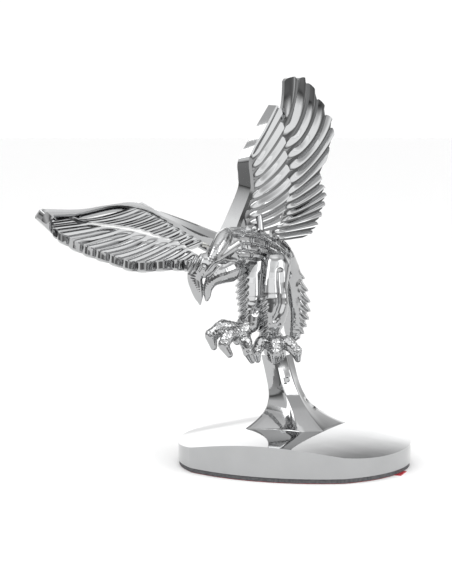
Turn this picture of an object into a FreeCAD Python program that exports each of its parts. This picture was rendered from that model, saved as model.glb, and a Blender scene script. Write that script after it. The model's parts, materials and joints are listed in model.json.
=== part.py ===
import FreeCAD, Part

import math
import os

import Sketcher

# Eagle hood ornament on a domed self-adhesive base.
# Row frame: +Z up, origin on the underside straight below the stem's foot, bird heading
# toward -Y, so the bird's left is +X. Lengths are in millimetres.

Vector = FreeCAD.Vector

doc = FreeCAD.newDocument("hood_ornament")

DIMENSIONS = [
    # Base outline: four bulged sides that meet at rounded corners, widest before the middle.
    ("base_shift", 0.8),
    ("base_half_length", 33.8),
    ("front_reach", 34.2),
    ("back_reach", 28.0),
    ("end_radius", 33.0),
    ("end_centre", -4.0),
    ("front_radius", 49.3),
    ("back_radius", 43.9),
    ("corner_round", 6.0),
    # Adhesive stack under the base.
    ("liner_thickness", 0.2),
    ("tape_thickness", 1.2),
    ("liner_inset", 0.6),
    ("tape_inset", 0.3),
    ("tab_width", 6.0),
    ("tab_length", 8.0),
    ("tab_reach", 0.5),
    ("tab_start", -12.0),
    # Chromed shell and its closing plate.
    ("shell_bottom", 1.4),
    ("shell_wall", 1.6),
    ("shell_height", 12.0),
    ("dome_crest", 10.8),
    ("dome_end_drop", 4.0),
    ("dome_side_drop", 0.8),
    ("dome_corner_drop", 3.3),
    ("dome_half_depth", 33.0),
    ("seat_radius", 9.0),
    ("seat_level", 8.5),
    ("plate_thickness", 2.0),
    ("plate_gap", 0.1),
    # Plate screws, one near each corner.
    ("boss_radius", 2.6),
    ("screw_spread_x", 16.5),
    ("screw_spread_y", 16.5),
    ("screw_centre_y", -4.0),
    ("small_screw_radius", 0.95),
    ("small_head_radius", 1.8),
    ("small_head_height", 0.9),
    ("small_screw_length", 4.2),
    # Pedestal screws and washers, pulled up from inside the dome.
    ("big_screw_radius", 1.45),
    ("big_head_radius", 2.6),
    ("big_head_height", 1.8),
    ("big_screw_length", 6.4),
    ("big_screw_offset", 4.4),
    ("washer_radius", 3.2),
    ("washer_thickness", 0.5),
    ("hole_clearance", 0.05),
    # Pedestal: a hexagonal stem that flares to the dome and leans at its top.
    ("stem_top", 31.0),
    ("stem_foot", 9.7),
    ("stem_top_width", 4.9),
    ("stem_flare_width", 11.3),
    ("stem_top_depth", 3.2),
    ("stem_flare_depth", 9.8),
    ("stem_top_flat", 1.8),
    ("stem_flare_flat", 1.6),
    ("stem_lean", 6.0),
    ("stem_turn", 40.0),
    # Wings.
    ("feather_count", 11),
    ("wing_root_thickness", 3.2),
    ("wing_edge_thickness", 1.5),
    ("feather_ridge", 0.45),
    ("feather_notch", 0.9),
    ("wing_camber", 2.0),
    # Dowels and studs that join the castings.
    ("dowel_radius", 0.8),
    ("dowel_clearance", 0.02),
]


def make_sheet():
    """Put every driving dimension in one spreadsheet under its own alias."""
    table = doc.addObject("Spreadsheet::Sheet", "sizes")
    for row, (alias, value) in enumerate(DIMENSIONS, start=1):
        table.set("A%d" % row, alias)
        table.set("B%d" % row, str(value))
        table.setAlias("B%d" % row, alias)
    doc.recompute()
    return table


sheet = make_sheet()


def size(alias):
    """The current value of one driving dimension."""
    return float(sheet.get(alias))


def plane_of(body, role):
    """The origin plane of a body that plays the given role."""
    return [item for item in body.Origin.OriginFeatures if item.Role == role][0]


# ---------------------------------------------------------------- base outline

def outline_arcs():
    """Centre, radius alias and rough ends of the right, back, left and front sides."""
    end_x = size("base_half_length") - size("end_radius")
    back_y = size("back_reach") - size("back_radius")
    front_y = size("front_radius") - size("front_reach")
    front_corner, back_corner = Vector(25.0, -27.5, 0), Vector(18.5, 24.0, 0)
    other_front, other_back = Vector(-25.0, -27.5, 0), Vector(-18.5, 24.0, 0)
    return [
        (Vector(end_x, size("end_centre"), 0), "end_radius", front_corner, back_corner),
        (Vector(0, back_y, 0), "back_radius", back_corner, other_back),
        (Vector(-end_x, size("end_centre"), 0), "end_radius", other_back, other_front),
        (Vector(0, front_y, 0), "front_radius", other_front, front_corner),
    ]


def bulged_sketch(body, name, inset):
    """Closed outline of four arcs, inset by an expression in millimetres."""
    sketch = body.newObject("Sketcher::SketchObject", name)
    sketch.AttachmentSupport = [(plane_of(body, "XY_Plane"), "")]
    sketch.MapMode = "FlatFace"
    arcs = outline_arcs()
    for centre, radius, start, end in arcs:
        first = math.atan2(start.y - centre.y, start.x - centre.x)
        last = math.atan2(end.y - centre.y, end.x - centre.x)
        if last < first:
            last += 2 * math.pi
        sketch.addGeometry(Part.ArcOfCircle(Part.Circle(centre, Vector(0, 0, 1), size(radius)), first, last))
    for index in range(4):
        sketch.addConstraint(Sketcher.Constraint("Coincident", index, 2, (index + 1) % 4, 1))
    for index in (1, 3):
        sketch.addConstraint(Sketcher.Constraint("PointOnObject", index, 3, -2))
    centres = [
        ("DistanceX", 0, arcs[0][0].x, "sizes.base_half_length - sizes.end_radius"),
        ("DistanceX", 2, arcs[2][0].x, "sizes.end_radius - sizes.base_half_length"),
        ("DistanceY", 0, arcs[0][0].y, "sizes.end_centre"),
        ("DistanceY", 2, arcs[2][0].y, "sizes.end_centre"),
        ("DistanceY", 1, arcs[1][0].y, "sizes.back_reach - sizes.back_radius"),
        ("DistanceY", 3, arcs[3][0].y, "sizes.front_radius - sizes.front_reach"),
    ]
    for kind, index, value, expression in centres:
        rule = sketch.addConstraint(Sketcher.Constraint(kind, -1, 1, index, 3, value))
        label = "centre_%s_%d" % (kind[-1].lower(), index)
        sketch.renameConstraint(rule, label)
        sketch.setExpression("Constraints." + label, expression)
    for index, (centre, radius, start, end) in enumerate(arcs):
        rule = sketch.addConstraint(Sketcher.Constraint("Radius", index, size(radius)))
        label = "round_%d" % index
        sketch.renameConstraint(rule, label)
        sketch.setExpression("Constraints." + label, "sizes.%s - (%s)" % (radius, inset))
    return sketch


def bulged_plate(name, inset, bottom, thickness):
    """A flat plate of the base outline with rounded corners."""
    body = doc.addObject("PartDesign::Body", name)
    sketch = bulged_sketch(body, name + "_outline", inset)
    pad = body.newObject("PartDesign::Pad", name + "_pad")
    pad.Profile = sketch
    pad.setExpression("Length", thickness)
    doc.recompute()
    corners = []
    for index, edge in enumerate(pad.Shape.Edges, start=1):
        start, end = edge.Vertexes[0].Point, edge.Vertexes[-1].Point
        if (end - start).cross(Vector(0, 0, 1)).Length < 1e-6:
            corners.append("Edge%d" % index)
    fillet = body.newObject("PartDesign::Fillet", name + "_corners")
    fillet.Base = (pad, corners)
    fillet.setExpression("Radius", "sizes.corner_round - (%s) / 2" % inset)
    body.Tip = fillet
    body.setExpression("Placement.Base.x", "sizes.base_shift")
    body.setExpression("Placement.Base.z", bottom)
    return body


def cylinder(name, radius, height, x="0", y="0", z="0"):
    """An upright Part cylinder whose sizes and place are expressions."""
    item = doc.addObject("Part::Cylinder", name)
    item.setExpression("Radius", radius)
    item.setExpression("Height", height)
    item.setExpression("Placement.Base.x", x)
    item.setExpression("Placement.Base.y", y)
    item.setExpression("Placement.Base.z", z)
    return item


def fuse(name, items):
    item = doc.addObject("Part::MultiFuse", name)
    item.Shapes = items
    return item


def common(name, items):
    item = doc.addObject("Part::MultiCommon", name)
    item.Shapes = items
    return item


def cut(name, base, tools):
    """The base less each tool in turn; the last cut carries the name."""
    for index, tool in enumerate(tools, start=1):
        last = index == len(tools)
        item = doc.addObject("Part::Cut", name if last else "%s_step_%d" % (name, index))
        item.Base = base
        item.Tool = tool
        base = item
    return base


def feature(name, shape):
    """A Part::Feature that holds a shape made by a formula."""
    item = doc.addObject("Part::Feature", name)
    item.Shape = shape
    item.Placement = FreeCAD.Placement()
    return item


def dome_height(x, y, lowered):
    """Height of the dome: nearly flat at the crest, lowest at the corners."""
    across = ((x - size("base_shift")) / size("base_half_length")) ** 2
    deep = (y / size("dome_half_depth")) ** 2
    drop = size("dome_end_drop") * across + size("dome_side_drop") * deep
    return size("dome_crest") - lowered - drop - size("dome_corner_drop") * across * deep


def dome_block(name, lowered):
    """Solid under the dome surface, wider than the base on every side."""
    reach, steps, depth = 37.0, 8, 30.0
    places = [reach * (2.0 * step / steps - 1) for step in range(steps + 1)]
    grid = [[Vector(x, y, dome_height(x, y, lowered)) for x in places] for y in places]
    surface = Part.BSplineSurface()
    surface.interpolate(grid)
    return feature(name, surface.toShape().extrude(Vector(0, 0, -depth)))


def screw_places():
    """Signs of the four plate screws."""
    return [(sx, sy) for sx in ("", "-") for sy in ("", "-")]


def corner_cylinders(name, radius, height, z):
    """One upright cylinder at each plate screw, fused."""
    items = []
    for index, (sx, sy) in enumerate(screw_places(), start=1):
        x = "sizes.base_shift + %s1 * sizes.screw_spread_x" % sx
        y = "sizes.screw_centre_y + %s1 * sizes.screw_spread_y" % sy
        items.append(cylinder("%s_%d" % (name, index), radius, height, x, y, z))
    return fuse(name, items)


def stem_cylinders(name, radius, height, z):
    """One upright cylinder at each of the two pedestal screws, fused."""
    items = []
    for index, sign in enumerate(("", "-"), start=1):
        x = "%s1 * sizes.big_screw_offset * cos(sizes.stem_turn)" % sign
        y = "%s1 * sizes.big_screw_offset * sin(sizes.stem_turn)" % sign
        items.append(cylinder("%s_%d" % (name, index), radius, height, x, y, z))
    return fuse(name, items)


def make_liner():
    """Peel-off liner: the base outline with a small pull tab at the +X end."""
    film = bulged_plate("liner_sheet", "sizes.liner_inset", "0", "sizes.liner_thickness")
    tab = doc.addObject("Part::Box", "liner_tab")
    tab.setExpression("Length", "sizes.tab_length")
    tab.setExpression("Width", "sizes.tab_width")
    tab.setExpression("Height", "sizes.liner_thickness")
    edge = "sizes.base_shift + sizes.base_half_length + sizes.tab_reach"
    tab.setExpression("Placement.Base.x", edge + " - sizes.tab_length")
    tab.setExpression("Placement.Base.y", "sizes.tab_start")
    return fuse("release_liner", [film, tab])


def make_tape():
    return bulged_plate("foam_tape", "sizes.tape_inset", "sizes.liner_thickness", "sizes.tape_thickness")


def make_base_shell(dome):
    """Hollow chromed dome with four plate bosses and a thick seat for the pedestal."""
    outer = bulged_plate("shell_block", "0", "sizes.shell_bottom", "sizes.shell_height")
    skin = common("shell_outside", [outer, dome])
    inner = bulged_plate(
        "shell_hollow_block", "sizes.shell_wall", "sizes.shell_bottom - 1", "sizes.shell_height"
    )
    hollow = common("shell_hollow", [inner, dome_block("dome_inside", size("shell_wall"))])
    plate_top = "sizes.shell_bottom + sizes.plate_thickness"
    bosses = corner_cylinders("shell_bosses", "sizes.boss_radius", "sizes.shell_height", plate_top)
    seat = cylinder("shell_seat", "sizes.seat_radius", "sizes.shell_height", z="sizes.seat_level")
    room = cut("shell_room", hollow, [bosses, seat])
    pilot_radius = "sizes.small_screw_radius + sizes.hole_clearance"
    pilot_depth = "sizes.small_screw_length"
    pilots = corner_cylinders("shell_pilots", pilot_radius, pilot_depth, "sizes.shell_bottom")
    through_radius = "sizes.big_screw_radius + 3 * sizes.hole_clearance"
    through = stem_cylinders("shell_screw_holes", through_radius, "10", "sizes.seat_level - 1")
    return cut("base_shell", skin, [room, pilots, through])


def make_base_plate():
    """Plate that closes the dome from below, with sunk screw holes."""
    blank = bulged_plate(
        "plate_blank", "sizes.shell_wall + sizes.plate_gap", "sizes.shell_bottom", "sizes.plate_thickness"
    )
    hole_radius = "sizes.small_screw_radius + 2 * sizes.hole_clearance"
    holes = corner_cylinders("plate_holes", hole_radius, "10", "0")
    sink_radius = "sizes.small_head_radius + 0.2"
    sink_depth = "sizes.small_head_height + 0.1"
    sinks = corner_cylinders("plate_sinks", sink_radius, sink_depth, "sizes.shell_bottom")
    return cut("base_plate", blank, [holes, sinks])


def make_plate_screws():
    """Four pan-head screws that hold the plate to the shell's bosses."""
    top = "sizes.shell_bottom + 0.1"
    heads = corner_cylinders("plate_screw_heads", "sizes.small_head_radius", "sizes.small_head_height", top)
    shank_radius = "sizes.small_screw_radius"
    shanks = corner_cylinders("plate_screw_shanks", shank_radius, "sizes.small_screw_length - 0.2", top)
    return fuse("base_plate_screws", [heads, shanks])


def make_pedestal_screws():
    """Two screws, heads down inside the dome, that hold the pedestal."""
    head_z = "sizes.seat_level - sizes.washer_thickness - sizes.big_head_height"
    heads = stem_cylinders("pedestal_screw_heads", "sizes.big_head_radius", "sizes.big_head_height", head_z)
    shank_length = "sizes.big_screw_length + sizes.washer_thickness"
    shank_z = "sizes.seat_level - sizes.washer_thickness"
    shanks = stem_cylinders("pedestal_screw_shanks", "sizes.big_screw_radius", shank_length, shank_z)
    return fuse("pedestal_screws", [heads, shanks])


def make_washers():
    """Plain washers between the screw heads and the shell's seat."""
    z = "sizes.seat_level - sizes.washer_thickness"
    discs = stem_cylinders("washer_discs", "sizes.washer_radius", "sizes.washer_thickness", z)
    bore_radius = "sizes.big_screw_radius + 2 * sizes.hole_clearance"
    bores = stem_cylinders("washer_bores", bore_radius, "10", z + " - 1")
    return cut("pedestal_washers", discs, [bores])


# -------------------------------------------------------------------- pedestal

def stem_section(height):
    """Hexagonal outline of the stem at one height."""
    span = size("stem_top") - size("stem_foot")
    down = (size("stem_top") - height) / span
    width = size("stem_top_width") + size("stem_flare_width") * down ** 5
    depth = size("stem_top_depth") + size("stem_flare_depth") * down ** 2.5
    flat = size("stem_top_flat") + size("stem_flare_flat") * down ** 3
    centre = Vector(-size("stem_lean") * (1 - down) ** 0.8 if down < 1 else 0, 0, height)
    turn = math.radians(size("stem_turn"))
    wide = Vector(math.cos(turn), math.sin(turn), 0)
    deep = Vector(math.sin(turn), -math.cos(turn), 0)
    corners = [(-width, 0), (-flat, depth), (flat, depth), (width, 0), (flat, -depth), (-flat, -depth)]
    points = [centre + wide * p + deep * q for p, q in corners]
    return Part.makePolygon(points + points[:1])


def make_pedestal(dome, screws_room, stud_room):
    """Stem lofted through hexagons and seated exactly on the dome."""
    steps = 10
    drop = size("stem_top") - size("stem_foot") + 1.0
    heights = [size("stem_top") - drop * step / steps for step in range(steps + 1)]
    stem = feature("pedestal_blank", Part.makeLoft([stem_section(z) for z in heights], True, False))
    return cut("pedestal", stem, [dome, screws_room, stud_room])


# ------------------------------------------------------------------- the eagle

def along(start, end, share):
    return start + (end - start) * share


def bezier(controls, share):
    """Point on a Bezier curve of any order."""
    points = list(controls)
    while len(points) > 1:
        points = [along(points[i], points[i + 1], share) for i in range(len(points) - 1)]
    return points[0]


def triangle(a, b, c):
    return Part.Face(Part.makePolygon([a, b, c, a]))


def skin_faces(rings):
    """Triangles of the side that runs through rings of the same number of points."""
    faces = []
    count = len(rings[0])
    for lower, upper in zip(rings, rings[1:]):
        for i in range(count):
            j = (i + 1) % count
            faces.append(triangle(lower[i], lower[j], upper[j]))
            faces.append(triangle(lower[i], upper[j], upper[i]))
    return faces


def ring_section(centre, direction, radius, flatten=1.0):
    """Ellipse wire about a path point, its short axis nearest to vertical."""
    normal = direction.normalize()
    side = normal.cross(Vector(0, 0, 1))
    if side.Length < 0.05:
        side = Vector(1, 0, 0)
    side = side.normalize()
    if flatten >= 1.0:
        return Part.Wire(Part.makeCircle(radius, centre, normal))
    ellipse = Part.Ellipse(centre, radius, radius * flatten)
    ellipse.Axis = normal
    ellipse.XAxis = side
    return Part.Wire(ellipse.toShape())


def limb(stations, flatten=1.0):
    """Loft through round sections; each station is a centre and a radius."""
    centres = [Vector(*centre) for centre, radius in stations]
    wires = []
    for index, (centre, radius) in enumerate(stations):
        before = centres[max(index - 1, 0)]
        after = centres[min(index + 1, len(centres) - 1)]
        wires.append(ring_section(centres[index], after - before, radius, flatten))
    return Part.makeLoft(wires, True, False)


class Wing:
    """Cambered feathered blade between a leading and a trailing curve."""

    def __init__(self, root, span_axis, chord_axis, leading, trailing):
        self.root = root
        self.span_axis = span_axis.normalize()
        self.chord_axis = chord_axis.normalize()
        normal = self.span_axis.cross(self.chord_axis)
        self.normal = normal if normal.y < 0 else normal * -1
        self.leading = [Vector(*point) for point in leading]
        self.trailing = [Vector(*point) for point in trailing]

    def place(self, flat):
        """From (span, chord, height) in the wing's plane to the row frame."""
        return self.root + self.span_axis * flat.x + self.chord_axis * flat.y + self.normal * flat.z

    def rings(self):
        """One closed ring of points round each chordwise line, crests on odd ones."""
        lines = 2 * int(size("feather_count"))
        shares = (0.0, 0.1, 0.4, 0.75, 1.0)
        rings = []
        for line in range(lines + 1):
            across = line / lines
            crest = line % 2
            lead = bezier(self.leading, across)
            trail = bezier(self.trailing, across)
            outward = (trail - lead).normalize()
            trail = trail + outward * (size("feather_notch") * (crest - 0.5))
            upper, lower = [], []
            for share in shares:
                point = along(lead, trail, share)
                bow = size("wing_camber") * 4 * share * (1 - share)
                ridge = size("feather_ridge") * (2 * crest - 1) * min(share * 2, 1)
                thick = size("wing_root_thickness") * (1 - share) + size("wing_edge_thickness") * share
                upper.append(self.place(point + Vector(0, 0, -bow + ridge + thick / 2)))
                lower.append(self.place(point + Vector(0, 0, -bow + ridge - thick / 2)))
            rings.append(upper + lower[::-1])
        return rings

    def solid(self):
        rings = self.rings()
        faces = skin_faces(rings)
        for ring in (rings[0], rings[-1]):
            half = len(ring) // 2
            for i in range(half - 1):
                faces.append(triangle(ring[i], ring[i + 1], ring[-2 - i]))
                faces.append(triangle(ring[i], ring[-2 - i], ring[-1 - i]))
        shape = Part.Solid(Part.Shell(faces))
        if shape.Volume < 0:
            shape.reverse()
        return shape


LEFT_WING = Wing(
    root=Vector(-21.5, -9.0, 66.0),
    span_axis=Vector(0, 0, 1),
    chord_axis=Vector(1, 1, 0),
    leading=[(0, 0, 0), (14, 6, 0), (24, 6, 0), (36, 20, 0), (46, 24, 0)],
    trailing=[(-5, 30, 0), (8, 40, 0), (24, 41, 0), (38, 41, 0), (46.5, 27, 0)],
)

RIGHT_WING = Wing(
    root=Vector(-24.0, -9.5, 64.0),
    span_axis=Vector(-0.962, -0.273, 0.0),
    chord_axis=Vector(0.093, -0.329, -0.94),
    leading=[(-4, 1, 0), (10, -5, 0), (20, -13, 0), (34, -10, 0), (50, -8, 0)],
    trailing=[(-2, 8, 0), (13, 11, 0), (25, 12, 0), (40, 4, 0), (50, -4, 0)],
)

TORSO_STATIONS = [
    ((-19.0, -9.0, 65.0), 2.3),
    ((-17.0, -7.3, 63.9), 4.6),
    ((-14.5, -3.6, 62.1), 5.8),
    ((-11.3, -0.1, 60.7), 5.8),
    ((-8.3, 2.2, 60.0), 5.0),
    ((-6.2, 3.5, 59.7), 3.2),
    ((-5.0, 4.3, 59.5), 1.6),
]

HEAD_STATIONS = [
    ((-12.5, -5.0, 62.3), 5.6),
    ((-15.5, -11.0, 63.0), 5.8),
    ((-17.5, -16.0, 61.5), 5.0),
    ((-19.3, -19.5, 59.0), 4.3),
    ((-20.8, -22.0, 55.8), 3.0),
    ((-21.8, -23.5, 52.0), 1.9),
    ((-21.6, -24.0, 48.6), 0.5),
]

TAIL_STATIONS = [
    ((-5.0, 4.5, 59.0), 3.6),
    ((-4.0, 9.2, 55.0), 3.6),
    ((-2.9, 11.5, 49.0), 4.1),
    ((-2.5, 12.4, 43.0), 3.9),
    ((-3.2, 12.0, 37.0), 2.6),
    ((-4.0, 11.2, 34.0), 1.2),
]

RIGHT_LEG_STATIONS = [
    ((-11.4, -4.8, 57.0), 4.4),
    ((-11.0, -7.7, 51.0), 4.4),
    ((-10.4, -9.8, 46.0), 3.8),
    ((-10.4, -11.4, 41.0), 2.6),
]

LEFT_LEG_STATIONS = [
    ((-5.2, -4.5, 57.0), 4.4),
    ((-4.9, -7.5, 51.0), 4.3),
    ((-5.2, -8.2, 45.0), 3.9),
    ((-5.9, -7.7, 38.5), 2.8),
]

LEFT_PALM = [
    ((-5.6, -1.5, 30.0), 2.6),
    ((-5.4, -3.6, 33.0), 3.6),
    ((-5.2, -5.6, 35.8), 3.0),
    ((-5.0, -7.0, 38.2), 1.8),
]

RIGHT_PALM = [
    ((-11.6, -11.6, 41.6), 1.8),
    ((-11.8, -12.8, 39.6), 2.8),
    ((-12.4, -14.4, 37.8), 2.4),
    ((-12.8, -15.2, 36.4), 1.2),
]

# Centres along each toe, from the palm to the talon's point, and the radii there.
TOE_RADII = (2.0, 1.7, 1.25, 0.5)

LEFT_TOES = [
    [(-5.0, -6.5, 35.0), (-8.0, -9.5, 35.4), (-9.4, -11.2, 32.6), (-8.8, -10.6, 30.0)],
    [(-5.0, -6.5, 35.0), (-3.2, -11.0, 35.4), (-2.8, -12.6, 32.6), (-3.2, -11.8, 29.8)],
    [(-5.0, -6.5, 35.0), (-0.6, -8.4, 35.2), (1.6, -8.6, 32.8), (2.2, -7.8, 30.4)],
    [(-5.0, -6.5, 35.0), (-5.6, -0.5, 35.6), (-5.8, 2.8, 33.2), (-5.6, 3.6, 30.2)],
]

RIGHT_TOES = [
    [(-12.0, -13.5, 39.0), (-16.6, -16.8, 40.4), (-19.6, -18.6, 37.6), (-19.2, -18.4, 33.8)],
    [(-12.0, -13.5, 39.0), (-14.4, -19.0, 38.6), (-15.6, -21.4, 35.4), (-14.6, -21.0, 31.8)],
    [(-12.0, -13.5, 39.0), (-10.2, -16.4, 36.4), (-9.4, -16.8, 33.4), (-8.6, -15.6, 30.4)],
]


def dowel(name, start, end, clearance=0.0):
    """Round pin between two points."""
    first, last = Vector(*start), Vector(*end)
    axis = last - first
    radius = size("dowel_radius") + clearance
    return feature(name, Part.makeCylinder(radius, axis.Length, first, axis))


def pin_and_room(name, start, end):
    """A dowel and the slightly wider hole that it is pressed into."""
    pin = dowel(name, start, end)
    room = dowel(name + "_hole", start, end, size("dowel_clearance"))
    return pin, room


def foot(name, toes, palm):
    """Palm with curved toes that end in talons."""
    pieces = []
    for index, toe in enumerate(toes, start=1):
        pieces.append(feature("%s_toe_%d" % (name, index), limb(list(zip(toe, TOE_RADII)))))
    pieces.append(feature(name + "_palm", limb(palm)))
    return fuse(name + "_blank", pieces)


def make_eagle():
    """Castings of the bird, each trimmed to the one it is pinned to."""
    neck_pin, neck_hole = pin_and_room("neck_pin", (-10.5, -2.5, 61.0), (-15.5, -10.5, 62.5))
    tail_pin, tail_hole = pin_and_room("tail_pin", (-8.4, 3.0, 60.4), (-4.2, 9.0, 55.4))
    left_hip, left_hip_hole = pin_and_room("left_hip_pin", (-7.6, 0.2, 59.3), (-5.2, -7.2, 50.5))
    right_hip, right_hip_hole = pin_and_room("right_hip_pin", (-11.8, -3.4, 58.4), (-11.8, -7.8, 50.5))
    wing_pin, wing_hole = pin_and_room("left_wing_pin", (-10.8, 0.4, 61.5), (-12.4, 2.4, 71.0))
    other_pin, other_hole = pin_and_room("right_wing_pin", (-13.0, -4.0, 60.0), (-25.5, -9.8, 63.6))
    stud, stud_hole = pin_and_room("perch_stud", (-5.2, -1.0, 26.0), (-5.2, -3.0, 35.5))

    torso_blank = feature("torso_blank", limb(TORSO_STATIONS))
    holes = [neck_hole, tail_hole, left_hip_hole, right_hip_hole, wing_hole, other_hole]
    torso = cut("torso", torso_blank, holes)

    head_blank = feature("head_blank", limb(HEAD_STATIONS))
    head = cut("head", head_blank, [torso_blank, neck_hole, other_hole])
    left_blank = feature("left_wing_blank", LEFT_WING.solid())
    left_wing = cut("left_wing", left_blank, [torso_blank, head_blank, wing_hole])
    right_blank = feature("right_wing_blank", RIGHT_WING.solid())
    right_wing = cut("right_wing", right_blank, [torso_blank, head_blank, left_blank, other_hole])
    tail = cut("tail", feature("tail_blank", limb(TAIL_STATIONS, 0.6)), [torso_blank, tail_hole])

    left_leg_blank = feature("left_leg_blank", limb(LEFT_LEG_STATIONS))
    right_leg_blank = feature("right_leg_blank", limb(RIGHT_LEG_STATIONS))
    left_leg = cut("left_leg", left_leg_blank, [torso_blank, left_hip_hole])
    right_neighbours = [torso_blank, left_leg_blank, head_blank, right_hip_hole]
    right_leg = cut("right_leg", right_leg_blank, right_neighbours)

    left_foot_blank = foot("left_foot", LEFT_TOES, LEFT_PALM)
    right_foot_blank = foot("right_foot", RIGHT_TOES, RIGHT_PALM)
    castings = [torso, left_wing, head, right_wing, tail, left_leg, right_leg]
    pins = [neck_pin, tail_pin, left_hip, right_hip, wing_pin, other_pin, stud]
    return castings, pins, left_foot_blank, right_foot_blank, left_leg_blank, right_leg_blank, stud_hole


def check(parts):
    """Refuse to write anything that failed to build or isn't a sound solid."""
    for item in doc.Objects:
        for word in ("Invalid", "Error"):
            if word in item.State:
                raise RuntimeError("%s is %s" % (item.Label, item.State))
    for part in parts:
        shape = part.Shape
        if shape.isNull() or not shape.isValid() or not shape.Solids:
            raise RuntimeError("%s is not a valid solid" % part.Label)


def main():
    dome = dome_block("dome_outside", 0.0)
    base_parts = [make_liner(), make_tape(), make_base_shell(dome), make_base_plate()]
    base_parts += [make_plate_screws(), make_pedestal_screws(), make_washers()]
    castings, pins, left_foot_blank, right_foot_blank, left_leg, right_leg, stud_hole = make_eagle()
    screw_room = stem_cylinders(
        "pedestal_threads",
        "sizes.big_screw_radius + sizes.hole_clearance",
        "sizes.big_screw_length + 0.3",
        "sizes.seat_level",
    )
    pedestal = make_pedestal(dome, screw_room, stud_hole)
    left_foot = cut("left_foot", left_foot_blank, [pedestal, left_leg, stud_hole])
    right_foot = cut("right_foot", right_foot_blank, [pedestal, left_foot, left_leg, right_leg])
    parts = base_parts + [pedestal, left_foot, right_foot] + castings + pins
    doc.recompute()
    check(parts)
    os.makedirs("parts", exist_ok=True)
    for part in parts:
        part.Shape.exportStep("parts/%s.step" % part.Label)
        box = part.Shape.BoundBox
        print(
            "%-20s solids %d  volume %9.1f  x %.1f %.1f  y %.1f %.1f  z %.1f %.1f"
            % (part.Label, len(part.Shape.Solids), part.Shape.Volume,
               box.XMin, box.XMax, box.YMin, box.YMax, box.ZMin, box.ZMax)
        )


main()
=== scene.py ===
import json
import math

import bmesh
import bpy
import numpy as np
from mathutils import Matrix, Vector
from mathutils.bvhtree import BVHTree


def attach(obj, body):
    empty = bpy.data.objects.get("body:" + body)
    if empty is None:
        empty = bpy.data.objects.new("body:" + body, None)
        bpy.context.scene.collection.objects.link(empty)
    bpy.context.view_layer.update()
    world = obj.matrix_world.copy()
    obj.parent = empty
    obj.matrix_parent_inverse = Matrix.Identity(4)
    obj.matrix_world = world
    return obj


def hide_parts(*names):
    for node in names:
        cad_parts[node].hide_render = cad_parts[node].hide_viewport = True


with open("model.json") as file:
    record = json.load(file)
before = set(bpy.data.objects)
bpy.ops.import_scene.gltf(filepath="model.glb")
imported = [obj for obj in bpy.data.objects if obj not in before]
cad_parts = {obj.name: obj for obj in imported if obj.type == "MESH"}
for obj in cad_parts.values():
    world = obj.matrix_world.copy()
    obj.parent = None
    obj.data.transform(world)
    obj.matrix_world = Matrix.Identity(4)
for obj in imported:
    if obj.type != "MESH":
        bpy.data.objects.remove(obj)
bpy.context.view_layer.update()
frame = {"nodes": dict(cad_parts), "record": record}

# Lengths are millimetres in the row frame until a mesh is made. The floor and the lamps are
# placed in metres.
MM = 0.001

# The viewpoint: a long lens, a little above the base and turned towards the bird's left.
VIEW_AZIMUTH = math.radians(20.5)
VIEW_ELEVATION = math.radians(6.0)
VIEW_DISTANCE = 550.0
VIEW_AIM_ACROSS = -20.5
VIEW_AIM_HEIGHT = 49.5
LENS = 116.6
SENSOR_WIDTH = 36.0


def vec(*values):
    return np.array(values, float)


def unit(direction):
    direction = np.asarray(direction, float)
    return direction / np.linalg.norm(direction)


def lerp(start, end, share):
    return start + (end - start) * share


def smooth_step(low, high, value):
    share = np.clip((value - low) / (high - low), 0.0, 1.0)
    return share * share * (3.0 - 2.0 * share)


class Spline:
    """Catmull-Rom curve through a few points, sampled at shares from 0 to 1."""

    def __init__(self, points):
        points = np.asarray(points, float)
        first = 2 * points[0] - points[1]
        last = 2 * points[-1] - points[-2]
        self.points = np.vstack([first, points, last])
        self.spans = len(points) - 1

    def __call__(self, share):
        place = np.clip(np.asarray(share, float), 0, 1) * self.spans
        index = np.minimum(place.astype(int), self.spans - 1)
        t = (place - index)[..., None]
        a, b, c, d = (self.points[index + k] for k in range(4))
        square = (2 * a - 5 * b + 4 * c - d) * t**2
        cube = (3 * b - a - 3 * c + d) * t**3
        return 0.5 * (2 * b + (c - a) * t + square + cube)


# ------------------------------------------------------------------ mesh making

def make_object(name, points, faces, sharp=None):
    """A smooth-shaded object from points in millimetres."""
    mesh = bpy.data.meshes.new(name)
    mesh.from_pydata((np.asarray(points) * MM).tolist(), [], [list(map(int, f)) for f in faces])
    mesh.validate()
    mesh.shade_smooth()
    if sharp is not None:
        mesh.set_sharp_from_angle(angle=math.radians(sharp))
    item = bpy.data.objects.new(name, mesh)
    bpy.context.scene.collection.objects.link(item)
    return item


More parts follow.
